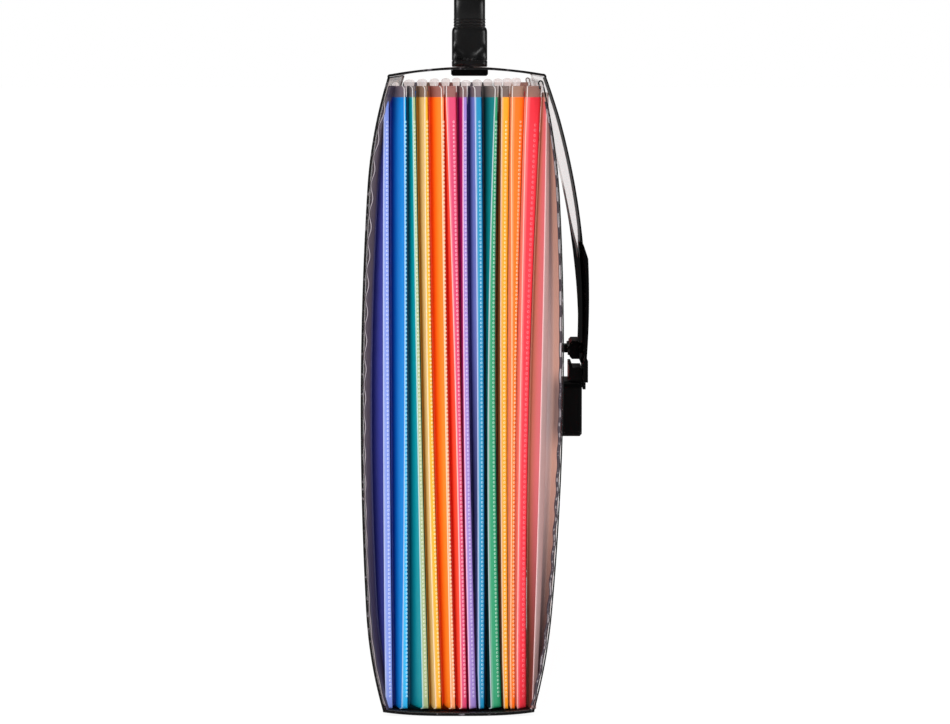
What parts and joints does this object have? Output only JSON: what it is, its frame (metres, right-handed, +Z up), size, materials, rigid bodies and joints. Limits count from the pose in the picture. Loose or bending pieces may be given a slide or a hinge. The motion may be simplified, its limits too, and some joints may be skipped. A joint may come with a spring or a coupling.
{
  "type": "accordion file folder",
  "caption": "Landscape accordion file folder: a clear bowed case with a hinged lid, snap latch and handle, and pleated pockets between coloured dividers.",
  "frame": {"origin": "centre of the flat strip along the underside", "axes": "+X from the back panel to the front panel with the latch, +Y along the folder, +Z up"},
  "size_m": [0.0928, 0.33, 0.2912],
  "materials": {
    "case_film": "satin smoky translucent polypropylene",
    "gusset_film": "clear translucent film",
    "tab_film": "clear glossy film",
    "black_moulding": "satin black moulding",
    "rivet_black": "satin black",
    "violet_film": "satin coloured film",
    "blue_film": "satin coloured film",
    "green_film": "satin coloured film",
    "yellow_film": "satin coloured film",
    "orange_film": "satin coloured film",
    "red_film": "satin coloured film"
  },
  "bodies": {
    "case": {"back_panel": "case_film", "bottom_panel": "case_film", "gusset_01": "gusset_film"},
    "front": {"front_panel": "case_film", "latch_base": "black_moulding", "latch_base_plate": "black_moulding", "latch_base_rivets": "rivet_black"},
    "lid": {"lid_panel": "case_film", "handle_lugs": "black_moulding", "handle_keepers": "black_moulding", "handle_rivets": "rivet_black"},
    "flap": {"lid_flap": "case_film", "latch_clip": "black_moulding", "latch_clip_block": "black_moulding", "latch_clip_rivets": "rivet_black", "latch_stud": "rivet_black"},
    "handle": {"handle_grip": "black_moulding"},
    "leaf_01": {"divider_01": "violet_film", "index_tab_01": "tab_film", "gusset_02": "gusset_film"},
    "leaf_02": {"divider_02": "blue_film", "index_tab_02": "tab_film", "gusset_03": "gusset_film"},
    "leaf_03": {"divider_03": "green_film", "index_tab_03": "tab_film", "gusset_04": "gusset_film"},
    "leaf_04": {"divider_04": "yellow_film", "index_tab_04": "tab_film", "gusset_05": "gusset_film"},
    "leaf_05": {"divider_05": "orange_film", "index_tab_05": "tab_film", "gusset_06": "gusset_film"},
    "leaf_06": {"divider_06": "red_film", "index_tab_06": "tab_film", "gusset_07": "gusset_film"},
    "leaf_07": {"divider_07": "violet_film", "index_tab_07": "tab_film", "gusset_08": "gusset_film"},
    "leaf_08": {"divider_08": "blue_film", "index_tab_08": "tab_film", "gusset_09": "gusset_film"},
    "leaf_09": {"divider_09": "green_film", "index_tab_09": "tab_film", "gusset_10": "gusset_film"},
    "leaf_10": {"divider_10": "yellow_film", "index_tab_10": "tab_film", "gusset_11": "gusset_film"},
    "leaf_11": {"divider_11": "orange_film", "index_tab_11": "tab_film", "gusset_12": "gusset_film"},
    "leaf_12": {"divider_12": "red_film", "index_tab_12": "tab_film", "gusset_13": "gusset_film"}
  },
  "joints": [
    {"name": "front_slide", "type": "slide", "parent": "case", "child": "front", "axis": [1, 0, 0], "range_m": [-0.03, 0], "deforming": ["gusset_01", "gusset_02", "gusset_03", "gusset_04", "gusset_05", "gusset_06", "gusset_07", "gusset_08", "gusset_09", "gusset_10", "gusset_11", "gusset_12", "gusset_13", "bottom_panel"]},
    {"name": "lid_hinge", "type": "hinge", "parent": "case", "child": "lid", "pos_m": [-0.0287, 0, 0.2481], "axis": [0, -1, 0], "range_deg": [0, 180]},
    {"name": "flap_fold", "type": "hinge", "parent": "lid", "child": "flap", "pos_m": [0.0311, 0, 0.2481], "axis": [0, -1, 0], "range_deg": [0, 150]},
    {"name": "handle_lift", "type": "slide", "parent": "lid", "child": "handle", "axis": [0, 0, 1], "range_m": [0, 0.005]},
    {"name": "leaf_01_slide", "type": "slide", "parent": "case", "child": "leaf_01", "axis": [1, 0, 0], "range_m": [-0.0012, 0]},
    {"name": "leaf_02_slide", "type": "slide", "parent": "case", "child": "leaf_02", "axis": [1, 0, 0], "range_m": [-0.0036, 0]},
    {"name": "leaf_03_slide", "type": "slide", "parent": "case", "child": "leaf_03", "axis": [1, 0, 0], "range_m": [-0.006, 0]},
    {"name": "leaf_04_slide", "type": "slide", "parent": "case", "child": "leaf_04", "axis": [1, 0, 0], "range_m": [-0.0084, 0]},
    {"name": "leaf_05_slide", "type": "slide", "parent": "case", "child": "leaf_05", "axis": [1, 0, 0], "range_m": [-0.0108, 0]},
    {"name": "leaf_06_slide", "type": "slide", "parent": "case", "child": "leaf_06", "axis": [1, 0, 0], "range_m": [-0.0132, 0]},
    {"name": "leaf_07_slide", "type": "slide", "parent": "case", "child": "leaf_07", "axis": [1, 0, 0], "range_m": [-0.0156, 0]},
    {"name": "leaf_08_slide", "type": "slide", "parent": "case", "child": "leaf_08", "axis": [1, 0, 0], "range_m": [-0.018, 0]},
    {"name": "leaf_09_slide", "type": "slide", "parent": "case", "child": "leaf_09", "axis": [1, 0, 0], "range_m": [-0.0204, 0]},
    {"name": "leaf_10_slide", "type": "slide", "parent": "case", "child": "leaf_10", "axis": [1, 0, 0], "range_m": [-0.0228, 0]},
    {"name": "leaf_11_slide", "type": "slide", "parent": "case", "child": "leaf_11", "axis": [1, 0, 0], "range_m": [-0.0252, 0]},
    {"name": "leaf_12_slide", "type": "slide", "parent": "case", "child": "leaf_12", "axis": [1, 0, 0], "range_m": [-0.0276, 0]}
  ],
  "couplings": [
    {"joint": "leaf_01_slide", "follows": "front_slide", "ratio": 0.04},
    {"joint": "leaf_02_slide", "follows": "front_slide", "ratio": 0.12},
    {"joint": "leaf_03_slide", "follows": "front_slide", "ratio": 0.2},
    {"joint": "leaf_04_slide", "follows": "front_slide", "ratio": 0.28},
    {"joint": "leaf_05_slide", "follows": "front_slide", "ratio": 0.36},
    {"joint": "leaf_06_slide", "follows": "front_slide", "ratio": 0.44},
    {"joint": "leaf_07_slide", "follows": "front_slide", "ratio": 0.52},
    {"joint": "leaf_08_slide", "follows": "front_slide", "ratio": 0.6},
    {"joint": "leaf_09_slide", "follows": "front_slide", "ratio": 0.68},
    {"joint": "leaf_10_slide", "follows": "front_slide", "ratio": 0.76},
    {"joint": "leaf_11_slide", "follows": "front_slide", "ratio": 0.84},
    {"joint": "leaf_12_slide", "follows": "front_slide", "ratio": 0.92}
  ]
}
